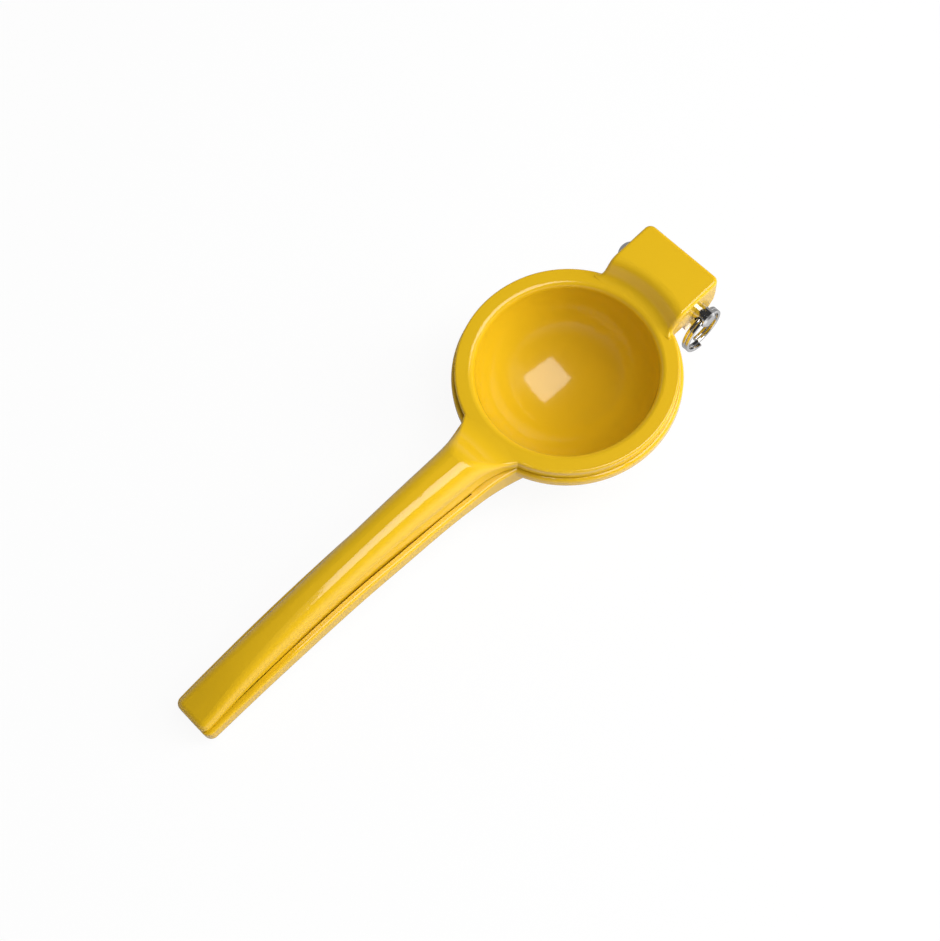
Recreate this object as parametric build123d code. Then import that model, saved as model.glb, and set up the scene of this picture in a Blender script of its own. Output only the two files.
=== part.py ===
from build123d import *
import math
import os

# Hinged lemon squeezer: a press arm and a cup arm on one hinge pin, with a split ring
# in the pin's drilled end.  Millimetres, +Z up.  Everything is drawn in the rim frame
# (origin at the middle of the press arm's rim face, +X towards the hinge, Y along the
# pin) and is then laid down on its cup and on the tip of the lower handle.

# ---- press bowl and its rim -------------------------------------------------------
mouth_dia = 59.2          # opening of the press bowl
rim_band = 6.3            # flat rim round the mouth
rim_thick = 3.8
rim_edge_r = 0.8          # rounding of the rim's upper edge
mouth_edge_r = 2.0        # rounding into the bowl
press_depth = 26.0        # inside depth of the press bowl
press_wall = 2.6

# ---- cup and its rim --------------------------------------------------------------
rim_gap = 0.3             # between the two rims when the tool is shut
cup_rim_over = 1.3        # how far the cup's rim stands out past the press rim
cup_rim_thick = 4.2
cup_edge_r = 1.2
peel_gap = 1.3            # press bowl to cup, at the rim
peel_gap_low = 2.2        # press bowl to cup, at the bottom
cup_wall = 2.6
drain_dia = 5.0
drain_rows = ((0.0, 1), (9.5, 6), (18.0, 12))     # (radius, how many)

# ---- handles ----------------------------------------------------------------------
handle_long = 129.8       # from the bowl's mouth to the handle's tip
handle_wall = 2.1         # side walls of both handles
handle_floor = 2.4        # back of both handles
crown_share = 0.18        # bulge of the back, as a share of its rounding
tip_wall = 2.4
tip_r = 2.5               # rounding all round the tip
lip_r = 0.9               # rounding along the handles' open edges
channel_start = 20.4      # the hollow side of each handle starts this far from the mouth
channel_edge_r = 0.8      # least rounding along the hollow

# Stations along a handle: distance from the bowl's mouth, half width, height of its back
# over the rim face, height of its other edge and rounding along the back.
press_neck = (
    (0.9, 14.4, -0.6, -3.8, 0.6),
    (4.4, 11.9, 0.1, -3.8, 0.8),
    (7.9, 9.9, 1.0, -3.8, 1.2),
    (11.4, 8.6, 3.6, -3.8, 2.6),
    (14.9, 7.8, 6.7, -3.8, 4.6),
    (18.4, 7.4, 8.3, -3.8, 6.2),
)
press_grip = (
    (18.4, 7.4, 8.3, -3.8, 6.2),
    (30.4, 6.8, 9.4, -5.4, 5.9),
    (46.4, 6.3, 10.2, -3.8, 5.5),
    (68.4, 5.9, 9.8, -1.8, 5.0),
    (88.4, 5.8, 8.7, -1.1, 4.6),
    (106.4, 5.9, 6.7, 0.3, 3.8),
    (120.4, 6.2, 3.9, -0.6, 3.0),
    (handle_long, 6.4, 1.4, -1.9, 2.6),
)
cup_neck = (
    (0.9, 13.6, -15.6, -4.1, 3.4),
    (6.9, 11.9, -15.2, -4.1, 3.4),
    (12.9, 10.6, -14.7, -4.2, 3.4),
    (18.4, 9.9, -14.1, -4.6, 3.4),
)
cup_grip = (
    (18.4, 9.9, -14.1, -4.6, 3.4),
    (32.4, 9.1, -12.5, -3.8, 3.4),
    (48.4, 8.9, -10.7, -1.8, 3.4),
    (68.4, 8.5, -9.1, 0.2, 3.4),
    (88.4, 8.3, -8.6, 0.5, 3.4),
    (106.4, 8.1, -8.8, -0.3, 3.4),
    (120.4, 7.9, -9.5, -1.4, 3.2),
    (handle_long, 7.7, -10.1, -2.4, 3.0),
)

# ---- hinge ------------------------------------------------------------------------
hood_width = 30.6
hood_reach = 9.6          # hood's far edge past the middle of the pin
hood_rise = 5.6           # hood above the rim face
hood_ramp_gap = 2.4       # foot of the ramp up to the hood, outside the bowl's mouth
hood_ramp_long = 9.0
hood_flare_r = 3.2        # blend between the hood's sides and the rim
hood_corner_r = 2.4       # the hood's far corners, seen from above
hood_plate = 2.6
hood_edge_r = 1.2
cheek_thick = 3.4
cheek_foot = 0.4          # cheeks below the hood's inside
cheek_clear = 1.0         # cheeks to the cup's rim
cheek_toe = 3.6           # cheek's foot past the middle of the pin
cheek_heel = 1.0          # lean of the cheek's edge beside the cup's rim
cheek_out = 1.6           # metal outside the hood's cavity, low on the pin's far side
pin_gap = 7.4             # middle of the pin, outside the cup's rim
pin_dia = 6.0
knuckle_wall = 2.2        # metal round the pin in the cup arm's knuckle
knuckle_width = 11.2
knuckle_clear = 0.5       # knuckle to the hood's inside
side_clear = 0.3          # knuckle to the bosses inside the cheeks
web_lean = 4.2            # the knuckle's web starts up to the pin this far before it
web_toe = 2.6             # web past the middle of the pin
web_foot = 0.7            # web above the knuckle's lowest point
web_out = 1.0             # web past the cup's rim
web_drop = 3.0            # web below the cup's rim, at its outer side
web_root = 10.0           # web below the cup's rim, at the cup's wall
pin_clear = 0.06          # radial running clearance in the cheeks
head_dia = 8.6
head_high = 3.2
head_clear = 0.25
pin_eye_out = 2.9         # middle of the drilled eye, past the cheek
pin_end_out = 5.3         # end of the pin, past the cheek
pin_end_chamfer = 0.7

# ---- split ring -------------------------------------------------------------------
ring_dia = 16.6
strip_wide = 1.25         # one coil, along the ring's axis
strip_thick = 1.1
strip_edge_r = 0.3
coil_gap = 0.07
eye_clear = 0.2

# ---- working allowances -----------------------------------------------------------
past = 2.0                # cutting shapes run past the metal by this
bite = 0.5                # lengths of one casting run into each other by this
near = 0.1                # edges are found within this

# ---- worked out from the above ----------------------------------------------------
mouth_r = mouth_dia / 2
rim_r = mouth_r + rim_band
press_r = mouth_r + press_wall
press_low = press_depth + press_wall
cup_top = -(rim_thick + rim_gap)
cup_rim_r = rim_r + cup_rim_over
cup_rim_low = cup_top - cup_rim_thick
cup_in_r = press_r + peel_gap
cup_in_deep = press_low + peel_gap_low + cup_top
cup_out_r = cup_in_r + cup_wall
cup_out_deep = cup_in_deep + cup_wall
pin_x = cup_rim_r + pin_gap
hood_end = pin_x + hood_reach
hood_ramp_start = mouth_r + hood_ramp_gap
hood_ramp_end = hood_ramp_start + hood_ramp_long
pin_r = pin_dia / 2
knuckle_r = pin_r + knuckle_wall
cavity_r = knuckle_r + knuckle_clear
pin_z = hood_rise - hood_plate - cavity_r
hood_half = hood_width / 2
cheek_in = hood_half - cheek_thick
cheek_low = pin_z - cavity_r - cheek_foot
knuckle_half = knuckle_width / 2
boss_in = knuckle_half + side_clear
head_y = hood_half + head_clear
eye_y = -(hood_half + pin_eye_out)
ring_mid_r = (ring_dia - strip_thick) / 2
coil_pitch = strip_wide + coil_gap
sag = pin_r ** 2 / (2 * ring_mid_r)     # of the ring's curve across the pin
eye_r = math.hypot((coil_pitch + strip_wide) / 2, (strip_thick + sag) / 2) + eye_clear


def side(lines, half):
    """A solid from an outline in X and Z, reaching half to each side of Y = 0."""
    return extrude(make_face(lines), half, dir=(0, 1, 0), both=True)


def outline(*points):
    """Straight lines through points given as X and Z."""
    return Polyline(*[(x, 0, z) for x, z in points])


def rod_y(radius, low_y, high_y):
    """A round bar on the hinge axis."""
    start = Plane(origin=(pin_x, low_y, pin_z), z_dir=(0, 1, 0))
    return extrude(start * Circle(radius), high_y - low_y)


def disc(radius, low, thick):
    """A flat round plate about the bowl's axis."""
    return Pos(0, 0, low) * extrude(Plane.XY * Circle(radius), thick)


def bowl(radius, deep, top):
    """A solid half ellipsoid that hangs from the height top."""
    ball = Sphere(radius)
    cap = ball - Pos(0, 0, radius) * Box(4 * radius, 4 * radius, 2 * radius)
    return Pos(0, 0, top) * scale(cap, (1, 1, deep / radius))


def section(dist, half, back, edge, r, up):
    """One cross-section of a handle: straight sides, rounded back.  up is 1 when the
    back is on top (press handle) and -1 when it is below (cup handle)."""
    x = -(mouth_r + dist)
    shoulder = back - up * crown_share * r
    face = make_face([
        Line((x, -half, edge), (x, -half, shoulder)),
        ThreePointArc((x, -half, shoulder), (x, 0, back), (x, half, shoulder)),
        Line((x, half, shoulder), (x, half, edge)),
        Line((x, half, edge), (x, -half, edge)),
    ])
    corners = [v for v in face.vertices() if abs(v.Z - shoulder) < near]
    return fillet(corners, r)


def at(rows, dist):
    """A smooth row of values at any distance covered by a handle's table."""
    i = max(k for k in range(len(rows) - 1) if rows[k][0] <= dist + 1e-6)
    span = rows[i + 1][0] - rows[i][0]
    t = (dist - rows[i][0]) / span

    def slope(k, col):
        before, after = max(k - 1, 0), min(k + 1, len(rows) - 1)
        turns_back = (rows[k][col] - rows[before][col]) * (rows[after][col] - rows[k][col]) <= 0
        if before < k < after and turns_back:
            return 0
        return (rows[after][col] - rows[before][col]) / (rows[after][0] - rows[before][0])

    values = [dist]
    for col in range(1, len(rows[0])):
        p, q = rows[i][col], rows[i + 1][col]
        m, n = slope(i, col) * span, slope(i + 1, col) * span
        values.append(p + m * t + (3 * (q - p) - 2 * m - n) * t ** 2 + (m + n - 2 * (q - p)) * t ** 3)
    return values


def evenly(rows, start, end, steps):
    """Rows at even spacing, so that a loft through them does not wave."""
    return [at(rows, start + (end - start) * i / steps) for i in range(steps + 1)]


def handle(neck, grip, up):
    """The outside and the hollow of a handle."""
    outer = loft([section(*row, up) for row in evenly(neck, neck[0][0], neck[-1][0], 5)])
    outer += loft([section(*row, up) for row in evenly(grip, grip[0][0], grip[-1][0], 10)])
    open_edge = grip[-1][3]
    end = [e for e in outer.faces().sort_by(Axis.X)[0].edges() if abs(e.center().Z - open_edge) > near]
    outer = fillet(end, tip_r)
    lip = [e for f in outer.faces() if -up * f.normal_at().Z > 0.8 for e in f.edges()
           if abs((e @ 0.5).Y) > neck[-1][1] / 2 or (e @ 0.5).X < tip_r - mouth_r - handle_long]
    if up < 0:
        outer = fillet(lip, lip_r)
    hollow = loft([
        section(d, h - handle_wall, b - up * handle_floor, e - up * past,
                max(r - handle_wall, channel_edge_r), up)
        for d, h, b, e, r in evenly(grip, channel_start, grip[-1][0] - tip_wall, 9)
    ])
    return outer, hollow


def hood_plan():
    """Outline of the hood seen from above, flared where its sides meet the rim."""
    flare_y = hood_half + hood_flare_r
    root_r = rim_r - rim_edge_r         # where the flare ends, inside the rim
    flare_x = math.sqrt((root_r + hood_flare_r) ** 2 - flare_y ** 2)
    share = root_r / (root_r + hood_flare_r)
    start, end = (flare_x, hood_half), (flare_x * share, flare_y * share)
    turn = math.atan2(flare_y * share - flare_y, flare_x * share - flare_x)
    half_way = (turn - math.pi / 2) / 2
    mid = (flare_x + hood_flare_r * math.cos(half_way), flare_y + hood_flare_r * math.sin(half_way))
    side_end, far_end = (hood_end - hood_corner_r, hood_half), (hood_end, hood_half - hood_corner_r)
    corner = RadiusArc(far_end, side_end, -hood_corner_r)
    upper = [Line((hood_end, 0), far_end), corner, Line(side_end, start),
             ThreePointArc(start, mid, end), Line(end, (0, 0))]
    half = extrude(Plane.XY * make_face(upper + [Line((0, 0), (hood_end, 0))]), 4 * rim_thick, both=True)
    return half + mirror(half, Plane.XZ)


def ramp_round_bowl():
    """Everything below a ramp that climbs outwards all round the bowl's axis."""
    mid = (hood_ramp_start + hood_ramp_end) / 2
    ramp = Spline((hood_ramp_start, 0, 0), (mid, 0, hood_rise / 2), (hood_ramp_end, 0, hood_rise),
                  tangents=((1, 0, 0), (1, 0, 0)))
    high, far, low = hood_rise + past, hood_end + hood_half, cheek_low - past
    below = outline((hood_ramp_end, hood_rise), (hood_ramp_end, high), (far, high), (far, low),
                    (mouth_r, low), (mouth_r, 0), (hood_ramp_start, 0))
    return revolve(make_face([ramp, below]), Axis.Z)


def hood_block():
    """The raised hood over the hinge, still solid."""
    back_x = cup_rim_r + cheek_clear
    block = side(outline((mouth_r, -rim_thick), (mouth_r, hood_rise), (hood_end, hood_rise),
                         (hood_end, pin_z + knuckle_r), (pin_x + cavity_r + cheek_out, pin_z - cheek_out),
                         (pin_x + cheek_toe, cheek_low), (back_x + cheek_heel, cheek_low),
                         (back_x, -rim_thick),
                         (mouth_r, -rim_thick)), hood_half + hood_flare_r)
    block &= hood_plan()
    block &= ramp_round_bowl()
    top = [e for e in block.edges() if e.center().Z > hood_rise - near
           and (abs(e.center().Y) > hood_half - hood_corner_r or e.center().X > hood_end - hood_corner_r)]
    return fillet(top, hood_edge_r)


def make_press_arm():
    """Rim, hollow bowl, handle and hinge hood in one casting."""
    rim = disc(rim_r, -rim_thick, rim_thick)
    rim = fillet(rim.edges().sort_by(Axis.Z)[-1], rim_edge_r)
    bar, channel = handle(press_neck, press_grip, 1)

    arm = rim + bar + hood_block() + bowl(press_r, press_low, 0)
    arm -= bowl(mouth_r, press_depth, 0)
    mouth = [e for e in arm.edges() if abs((e @ 0.3).Z) < near
             and abs(math.hypot((e @ 0.3).X, (e @ 0.3).Y) - mouth_r) < near]
    arm = fillet(mouth, mouth_edge_r)
    arm -= channel

    cavity = rod_y(cavity_r, -cheek_in, cheek_in)
    cavity += side(outline((pin_x - cavity_r, pin_z), (pin_x - cavity_r, -rim_thick), (rim_r, -rim_thick),
                           (rim_r, cheek_low - past), (hood_end + past, cheek_low - past),
                           (hood_end + past, pin_z + cavity_r), (pin_x, pin_z + cavity_r),
                           (pin_x - cavity_r, pin_z)), cheek_in)
    arm -= cavity
    boss = rod_y(knuckle_r, boss_in, cheek_in + bite)
    arm += boss + mirror(boss, Plane.XZ)
    return arm - rod_y(pin_r + pin_clear, -hood_half - past, hood_half + past)


def make_cup_arm():
    """Cup with drain holes, its rim, handle and hinge knuckle in one casting."""
    rim = fillet(disc(cup_rim_r, cup_rim_low, cup_rim_thick).edges(), cup_edge_r)
    bar, channel = handle(cup_neck, cup_grip, -1)
    inside = cup_in_r - past            # the web's root, cut away again with the cup's hollow
    web = side(outline((inside, cup_top), (pin_x - web_lean, cup_top), (pin_x, pin_z),
                       (pin_x + web_toe, pin_z - knuckle_r + web_foot),
                       (cup_rim_r + web_out, cup_rim_low - web_drop),
                       (inside, cup_rim_low - web_root), (inside, cup_top)), knuckle_half)
    knuckle = rod_y(knuckle_r, -knuckle_half, knuckle_half)

    arm = rim + bar + web + knuckle + bowl(cup_out_r, cup_out_deep, cup_top)
    arm -= bowl(cup_in_r, cup_in_deep, cup_top) + disc(cup_in_r, cup_top, rim_gap)
    arm -= channel
    arm -= rod_y(pin_r, -hood_half, hood_half)
    hole = disc(drain_dia / 2, cup_top - cup_out_deep - past, cup_out_deep)
    for radius, count in drain_rows:
        for i in range(count):
            arm -= Rot(0, 0, 360 * i / count) * Pos(radius, 0, 0) * hole
    return arm


def make_hinge_pin():
    """Round pin with a domed head; its eye is drilled once the tool lies shut."""
    dome_r = ((head_dia / 2) ** 2 + head_high ** 2) / (2 * head_high)
    head = Pos(pin_x, head_y + head_high - dome_r, pin_z) * Sphere(dome_r)
    head &= rod_y(head_dia / 2, head_y, head_y + head_high + past)
    shank = rod_y(pin_r, -(hood_half + pin_end_out), head_y + bite)
    return chamfer(shank.faces().sort_by(Axis.Y)[0].edges(), pin_end_chamfer) + head


def make_split_ring():
    """Two turns of flat strip about Y, with the strip's ends at the bottom."""
    turns = Helix(coil_pitch, 2 * coil_pitch, ring_mid_r)
    start = Plane(turns @ 0, x_dir=(1, 0, 0), z_dir=turns % 0)
    strip = start * RectangleRounded(strip_thick, strip_wide, strip_edge_r)
    coil = Pos(0, 0, -coil_pitch) * sweep(strip, path=turns, is_frenet=True)
    return Rot(90, 0, 0) * Rot(0, 0, -90) * coil


# ---- lay the tool down: the floor touches the cup and the keel of its handle's tip --
tip_x, tip_z = -(mouth_r + handle_long), cup_grip[-1][2] - cup_top
a = tip_x ** 2 - cup_out_r ** 2
b = -2 * tip_x * tip_z
c = tip_z ** 2 - cup_out_deep ** 2
rest_turn = math.degrees(math.atan((-b - math.sqrt(b * b - 4 * a * c)) / (2 * a)))
lay = Rot(0, rest_turn, 0)
pieces = {"press_arm": lay * make_press_arm(), "cup_arm": lay * make_cup_arm()}

# The eye is drilled level through the laid pin, and the ring hangs straight down in it.
eye_at = (lay * Pos(pin_x, eye_y, pin_z)).position
eye_bore = Plane(origin=eye_at - (pin_dia, 0, 0), z_dir=(1, 0, 0)) * Circle(eye_r)
pieces["hinge_pin"] = lay * make_hinge_pin() - extrude(eye_bore, 2 * pin_dia)
pieces["split_ring"] = Pos(eye_at - (0, 0, ring_mid_r - sag / 2)) * make_split_ring()

# ---- origin on the floor below the middle of the tool, one file for each piece ------
box = Compound(list(pieces.values())).bounding_box()
stand = Pos(-(box.min.X + box.max.X) / 2, 0, -box.min.Z)
os.makedirs("parts", exist_ok=True)
for name, piece in pieces.items():
    export_step(stand * piece, f"parts/{name}.step")

print("rest turn", rest_turn, "shift", tuple(stand.position))
print("hinge", tuple((stand * lay * Pos(pin_x, 0, pin_z)).position), "eye", tuple(stand.position + eye_at))
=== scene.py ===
# %% [markdown]
# # A hinged lemon squeezer
#
# Two cast arms turn on one pin: the upper one carries a hollow press bowl, the lower one a
# cup with drain holes. Both are coated in thick yellow enamel. A split ring hangs in the
# pin's drilled end. The castings, the pin and the ring come ready from the construction
# model. This file gives them their finish, and sets up the studio they stand in.

# %% Load the construction model
import bpy
import math
from mathutils import Matrix, Vector

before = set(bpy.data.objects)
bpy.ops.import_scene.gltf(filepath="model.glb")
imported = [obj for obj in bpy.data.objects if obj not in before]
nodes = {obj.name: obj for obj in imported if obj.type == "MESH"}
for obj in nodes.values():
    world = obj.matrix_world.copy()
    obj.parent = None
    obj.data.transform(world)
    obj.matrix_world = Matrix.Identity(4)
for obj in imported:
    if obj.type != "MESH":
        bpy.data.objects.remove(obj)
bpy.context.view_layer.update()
bpy.ops.object.select_all(action="DESELECT")

# %% [markdown]
# ## The camera
#
# The tool is looked at from above and from beside its handles, so that the handles run to
# the lower left and the bowl lies open to the viewer. A lens of about 60 mm at half a metre
# gives little perspective, as in a catalogue picture. The turn is written as the three
# angles that the sidebar shows for the camera.

# %% Camera
camera_place = (-0.16805, -0.15813, 0.47188)
camera_turn = (27.615, -2.254, -44.133)
camera_lens = 61.93

camera_data = bpy.data.cameras.new("camera")
camera_data.lens = camera_lens
camera_data.sensor_width = 36
camera = bpy.data.objects.new("camera", camera_data)
camera.location = camera_place
camera.rotation_euler = [math.radians(turn) for turn in camera_turn]
bpy.context.scene.collection.objects.link(camera)
bpy.context.scene.camera = camera
bpy.context.scene.view_settings.view_transform = "Standard"
print("camera", round(camera.location.length, 3), "m from the middle of the tool")

# %% [markdown]
# ## Helpers for materials
#
# A material is a small graph of nodes. These helpers keep each finish short: they add a
# node and set its inputs, join two sockets, do sums on values, map one range of values onto
# another, and make an empty material with the shader that every finish here ends in.

# %% Node helpers
def add_node(tree, kind, **inputs):
    """A new node of this kind. Names of inputs are written with _ for a space."""
    node = tree.nodes.new(kind)
    for name, value in inputs.items():
        node.inputs[name.replace("_", " ")].default_value = value
    return node


def join(tree, out_socket, in_socket):
    tree.links.new(out_socket, in_socket)


def new_finish(name):
    """A material with its node tree and its Principled shader."""
    finish = bpy.data.materials.new(name)
    finish.use_nodes = True
    return finish, finish.node_tree, finish.node_tree.nodes["Principled BSDF"]


def maths(tree, operation, first, second):
    """A Math node. Each of the two is a socket or a plain number."""
    node = tree.nodes.new("ShaderNodeMath")
    node.operation = operation
    for socket, value in zip(node.inputs, (first, second)):
        if isinstance(value, (int, float)):
            socket.default_value = value
        else:
            join(tree, value, socket)
    return node.outputs[0]


def map_range(tree, value, start, end, low, high, smooth=True):
    """Turns a value that runs from start to end into one that runs from low to high.
    Low is a socket or a plain number; past the ends the result stays level."""
    node = add_node(tree, "ShaderNodeMapRange", From_Min=start, From_Max=end, To_Max=high)
    node.interpolation_type = "SMOOTHSTEP" if smooth else "LINEAR"
    if isinstance(low, (int, float)):
        node.inputs["To Min"].default_value = low
    else:
        join(tree, low, node.inputs["To Min"])
    join(tree, value, node.inputs["Value"])
    return node.outputs["Result"]


# %% [markdown]
# ## Handling marks, shared by enamel and metal
#
# A kitchen tool that has been used and washed is never equally glossy all over. Faint
# smears a few centimetres across and hair-fine scratches change how sharply it reflects.
# Both finishes need the same effect at a different strength, so it is a node group: built
# once, with named inputs, and placed in each material with that material's own values. Both
# also have a colour that varies a little and a bump, so the functions for those stand here.

# %% Handling marks
scratch_stretch = (1.0, 14.0, 14.0)
scratch_lean = (0.2, 0.3, 0.5)
scratch_crests = (0.66, 0.74)

def make_handling_marks():
    group = bpy.data.node_groups.new("handling marks", "ShaderNodeTree")
    for name, value in (("Roughness", 0.2), ("Smears", 0.05), ("Scratches", 0.05)):
        socket = group.interface.new_socket(name, in_out="INPUT", socket_type="NodeSocketFloat")
        socket.default_value = value
    group.interface.new_socket("Roughness", in_out="OUTPUT", socket_type="NodeSocketFloat")
    group.interface.new_socket("Height", in_out="OUTPUT", socket_type="NodeSocketFloat")
    inside = group.nodes.new("NodeGroupInput")
    outside = group.nodes.new("NodeGroupOutput")
    place = group.nodes.new("ShaderNodeTexCoord")

    smears = add_node(group, "ShaderNodeTexNoise", Scale=55.0, Detail=3.0, Roughness=0.6)
    join(group, place.outputs["Object"], smears.inputs["Vector"])
    smear = maths(group, "SUBTRACT", smears.outputs["Fac"], 0.5)

    # A noise stretched by a Mapping node reads as scratches along the tool. Only its
    # highest crests count, so the scratches are few and thin.
    stretch = add_node(group, "ShaderNodeMapping", Scale=scratch_stretch, Rotation=scratch_lean)
    join(group, place.outputs["Object"], stretch.inputs["Vector"])
    lines = add_node(group, "ShaderNodeTexNoise", Scale=260.0, Detail=2.0, Roughness=0.5)
    join(group, stretch.outputs["Vector"], lines.inputs["Vector"])
    hair = map_range(group, lines.outputs["Fac"], *scratch_crests, 0.0, 1.0, smooth=False)

    smeared = maths(group, "MULTIPLY", smear, inside.outputs["Smears"])
    scratched = maths(group, "MULTIPLY", hair, inside.outputs["Scratches"])
    marked = maths(group, "ADD", smeared, scratched)
    total = maths(group, "ADD", marked, inside.outputs["Roughness"])
    join(group, total, outside.inputs["Roughness"])
    join(group, maths(group, "MULTIPLY", hair, -1.0), outside.inputs["Height"])
    return group


def add_marks(tree, shader, roughness, smears, scratches):
    """Places the group, drives the shader's Roughness, and gives back its Height."""
    marks = tree.nodes.new("ShaderNodeGroup")
    marks.node_tree = handling_marks
    marks.inputs["Roughness"].default_value = roughness
    marks.inputs["Smears"].default_value = smears
    marks.inputs["Scratches"].default_value = scratches
    join(tree, marks.outputs["Roughness"], shader.inputs["Roughness"])
    return marks.outputs["Height"]


def add_tone(tree, shader, noise, first, second):
    """Drives the shader's Base Color with a noise that goes between two colours."""
    tone = tree.nodes.new("ShaderNodeMix")
    tone.data_type = "RGBA"
    tone.inputs["A"].default_value = first
    tone.inputs["B"].default_value = second
    join(tree, noise.outputs["Fac"], tone.inputs["Factor"])
    join(tree, tone.outputs["Result"], shader.inputs["Base Color"])


def add_bump(tree, shader, height, strength, distance):
    """Drives the shader's Normal with a height."""
    bump = add_node(tree, "ShaderNodeBump", Strength=strength, Distance=distance)
    join(tree, height, bump.inputs["Height"])
    join(tree, bump.outputs["Normal"], shader.inputs["Normal"])


handling_marks = make_handling_marks()
print("group", handling_marks.name, "with", len(handling_marks.nodes), "nodes")

# %% [markdown]
# ## Yellow enamel
#
# The arms are cast in aluminium and coated in a thick baked enamel. It has a deep
# egg-yolk yellow, a clear hard gloss on top, and a skin that is not quite flat: a soft
# ripple a few millimetres long, called orange peel. The coat of the shader is that clear
# gloss, and two noises make the ripple and the slow change of the yellow.

# %% Enamel
enamel_yellow = (0.760, 0.475, 0.013, 1.0)
enamel_deep = (0.715, 0.425, 0.008, 1.0)
under_gloss = 0.1          # what the yellow itself reflects, below the clear coat
coat_roughness = 0.10
scratch_share = 0.1        # depth of a scratch against the ripple

def make_enamel():
    finish, tree, shader = new_finish("yellow enamel")
    place = tree.nodes.new("ShaderNodeTexCoord")

    clouds = add_node(tree, "ShaderNodeTexNoise", Scale=28.0, Detail=3.0, Roughness=0.5)
    join(tree, place.outputs["Object"], clouds.inputs["Vector"])
    add_tone(tree, shader, clouds, enamel_yellow, enamel_deep)

    marks = add_marks(tree, shader, roughness=0.30, smears=0.10, scratches=0.03)
    peel = add_node(tree, "ShaderNodeTexNoise", Scale=420.0, Detail=1.0, Roughness=0.4)
    join(tree, place.outputs["Object"], peel.inputs["Vector"])
    scratches = maths(tree, "MULTIPLY", marks, scratch_share)
    height = maths(tree, "ADD", peel.outputs["Fac"], scratches)
    add_bump(tree, shader, height, strength=0.035, distance=0.0004)

    shader.inputs["Specular IOR Level"].default_value = under_gloss
    shader.inputs["Coat Weight"].default_value = 1.0
    shader.inputs["Coat Roughness"].default_value = coat_roughness
    return finish


enamel = make_enamel()

# %% [markdown]
# ## Plated steel
#
# The pin and the ring are bright plated steel. Metal has no colour of its own beneath the
# gloss: nearly all that is seen is the room, so it is made with full Metallic, a light
# grey, and the same handling marks with more scratches in them.

# %% Plated steel
plate_grey = (0.74, 0.74, 0.76, 1.0)
plate_dull = (0.60, 0.59, 0.58, 1.0)

def make_plating():
    finish, tree, shader = new_finish("plated steel")
    place = tree.nodes.new("ShaderNodeTexCoord")
    clouds = add_node(tree, "ShaderNodeTexNoise", Scale=320.0, Detail=4.0, Roughness=0.6)
    join(tree, place.outputs["Object"], clouds.inputs["Vector"])
    add_tone(tree, shader, clouds, plate_grey, plate_dull)
    marks = add_marks(tree, shader, roughness=0.11, smears=0.08, scratches=0.10)
    add_bump(tree, shader, marks, strength=0.15, distance=0.0001)
    shader.inputs["Metallic"].default_value = 1.0
    return finish


plating = make_plating()

# %% [markdown]
# ## Which piece gets which finish
#
# A construction piece keeps its shape, and its material slots take the finish.

# %% Assign the finishes
def coat(name, finish):
    piece = nodes[name]
    for slot in piece.material_slots:
        slot.material = finish


for name in ("press_arm", "cup_arm"):
    coat(name, enamel)
for name in ("hinge_pin", "split_ring"):
    coat(name, plating)

# %% [markdown]
# ## Table
#
# The tool lies on a white table. To the eye it is white all over. In reflections it is
# white on the ring's side and dimmer on the other, so that gloss has something darker to
# show as well. A small part of it is a plain matt surface, so the tool's soft shadow stays
# on it. The Light Path node tells those kinds of rays apart.

# %% Table
table_size = 6.0
table_grey = (0.86, 0.86, 0.86, 1.0)
table_roughness = 0.9
table_own_light = 0.93     # the rest is the matt surface
sheen_front = 1.2          # its light in reflections, on the ring's side
sheen_back = 0.3           # and on the other side
sheen_from, sheen_to = 0.02, -0.10
white = (1.0, 1.0, 1.0, 1.0)

def make_table_white():
    finish, tree, shader = new_finish("white table")
    shader.inputs["Base Color"].default_value = table_grey
    shader.inputs["Roughness"].default_value = table_roughness
    glow = add_node(tree, "ShaderNodeEmission", Color=white)
    ray = tree.nodes.new("ShaderNodeLightPath")
    place = tree.nodes.new("ShaderNodeTexCoord")
    split = tree.nodes.new("ShaderNodeSeparateXYZ")
    join(tree, place.outputs["Object"], split.inputs["Vector"])
    sheen = map_range(tree, split.outputs["Y"], sheen_from, sheen_to, sheen_back, sheen_front)
    change = maths(tree, "SUBTRACT", sheen, 1.0)
    change = maths(tree, "MULTIPLY", change, ray.outputs["Is Glossy Ray"])
    join(tree, maths(tree, "ADD", change, 1.0), glow.inputs["Strength"])
    seen = maths(tree, "MAXIMUM", ray.outputs["Is Camera Ray"], ray.outputs["Is Glossy Ray"])
    seen = maths(tree, "MAXIMUM", seen, ray.outputs["Is Transmission Ray"])
    blend = tree.nodes.new("ShaderNodeMixShader")
    join(tree, maths(tree, "MULTIPLY", seen, table_own_light), blend.inputs["Fac"])
    join(tree, shader.outputs["BSDF"], blend.inputs[1])
    join(tree, glow.outputs["Emission"], blend.inputs[2])
    join(tree, blend.outputs["Shader"], tree.nodes["Material Output"].inputs["Surface"])
    return finish


bpy.ops.mesh.primitive_plane_add(size=table_size, location=(0, 0, 0))
floor = bpy.context.object
floor.name = "table"
floor.data.materials.append(make_table_white())
bpy.ops.object.select_all(action="DESELECT")

# %% [markdown]
# ## Room
#
# Seen directly, the room is white as well. From above, the table's edge is out of sight.
# From low down it shows as a faint step far off. What the room gives off as light, and in
# reflections, is brightest low down on the ring's side, dimmer low down on the other side,
# and dark overhead.

# %% Room
room_bright = 0.85         # low down, on the ring's side
room_dark = 0.40           # low down, on the other side
room_high = 0.04           # overhead
side_from, side_to = 0.6, -0.6
climb_to = 0.5             # how steep a direction already counts as overhead

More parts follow.
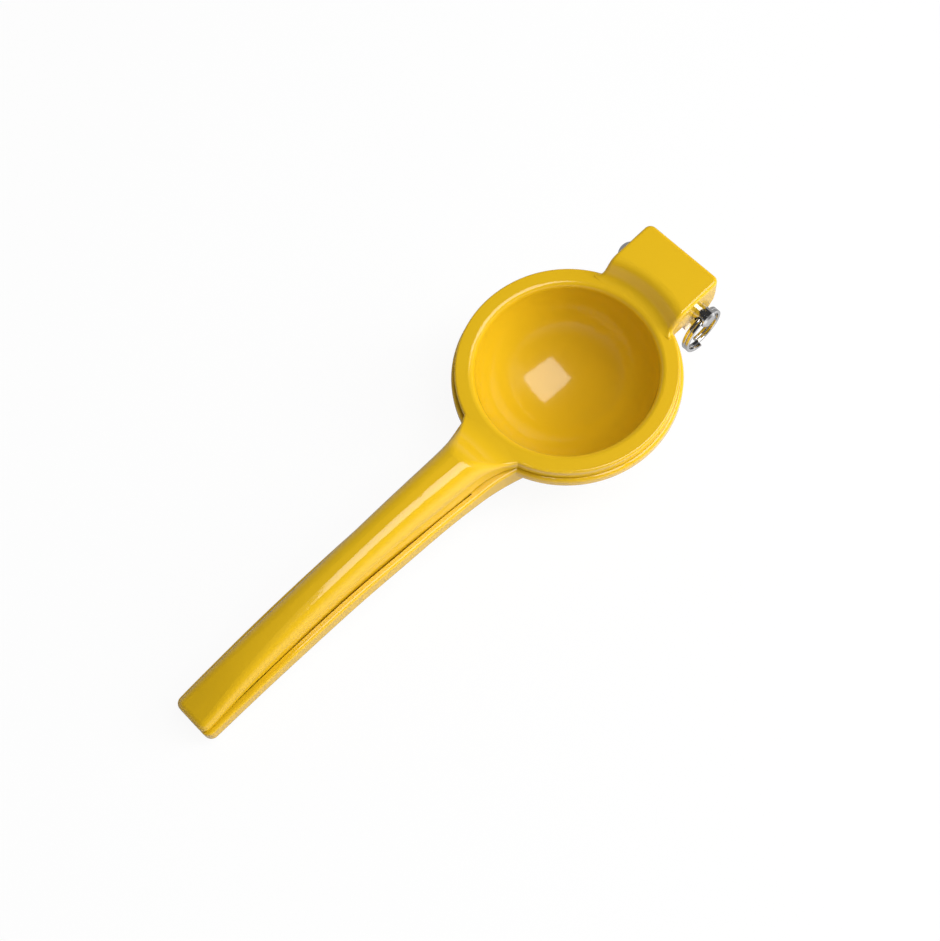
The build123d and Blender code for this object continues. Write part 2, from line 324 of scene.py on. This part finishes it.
def make_room():
    world = bpy.data.worlds.new("room")
    bpy.context.scene.world = world
    world.use_nodes = True
    tree = world.node_tree
    background = tree.nodes["Background"]
    place = tree.nodes.new("ShaderNodeTexCoord")
    split = tree.nodes.new("ShaderNodeSeparateXYZ")
    join(tree, place.outputs["Generated"], split.inputs["Vector"])
    level = map_range(tree, split.outputs["Y"], side_from, side_to, room_dark, room_bright)
    light = map_range(tree, split.outputs["Z"], 0.0, climb_to, level, room_high)
    ray = tree.nodes.new("ShaderNodeLightPath")
    direct = (ray.outputs["Is Camera Ray"], ray.outputs["Is Transmission Ray"])
    strength = maths(tree, "MAXIMUM", light, maths(tree, "MAXIMUM", *direct))
    join(tree, strength, background.inputs["Strength"])
    background.inputs["Color"].default_value = white


make_room()

# %% [markdown]
# ## Lamps
#
# One large soft lamp hangs up on the ring's side. It makes the bright window in the bowl
# and the stripe along the handle. Its panel is squared up with the tool, so the window in
# the bowl has the tool's own directions. A key lamp from beyond the hinge makes one side of
# the bowl brighter than the other, a low lamp lights the side walls, and a weak one stands
# behind. Those three don't show in the gloss.

# %% Lamps
bowl_middle = (0.052, 0.0, 0.03)
lamps = (
    # name, direction from the bowl, metres away, its two sides, watts, shows in the gloss
    ("window", (0.13, -0.27, 0.93), 0.9, (0.72, 0.60), 6.4, True),
    ("key", (0.62, -0.55, 0.52), 0.9, (0.5, 0.5), 5.6, False),
    ("low", (0.1, -1.0, 0.22), 0.8, (1.2, 0.35), 1.9, False),
    ("behind", (-0.2, 1.0, 0.25), 0.9, (1.0, 0.5), 1.5, False),
)

def add_lamp(name, towards, distance, size, watts, in_gloss):
    """A rectangular soft lamp that hangs in this direction from the bowl and faces it.
    The first side of its panel runs along the tool."""
    back = Vector(towards).normalized()
    along = (Vector((1.0, 0.0, 0.0)) - back * back.x).normalized()
    data = bpy.data.lights.new(name, "AREA")
    data.shape = "RECTANGLE"
    data.size, data.size_y = size
    data.energy = watts
    lamp = bpy.data.objects.new(name, data)
    lamp.location = Vector(bowl_middle) + back * distance
    lamp.rotation_euler = Matrix((along, back.cross(along), back)).transposed().to_euler()
    lamp.visible_glossy = in_gloss
    bpy.context.scene.collection.objects.link(lamp)


for lamp in lamps:
    add_lamp(*lamp)
print("lamps:", [lamp[0] for lamp in lamps])
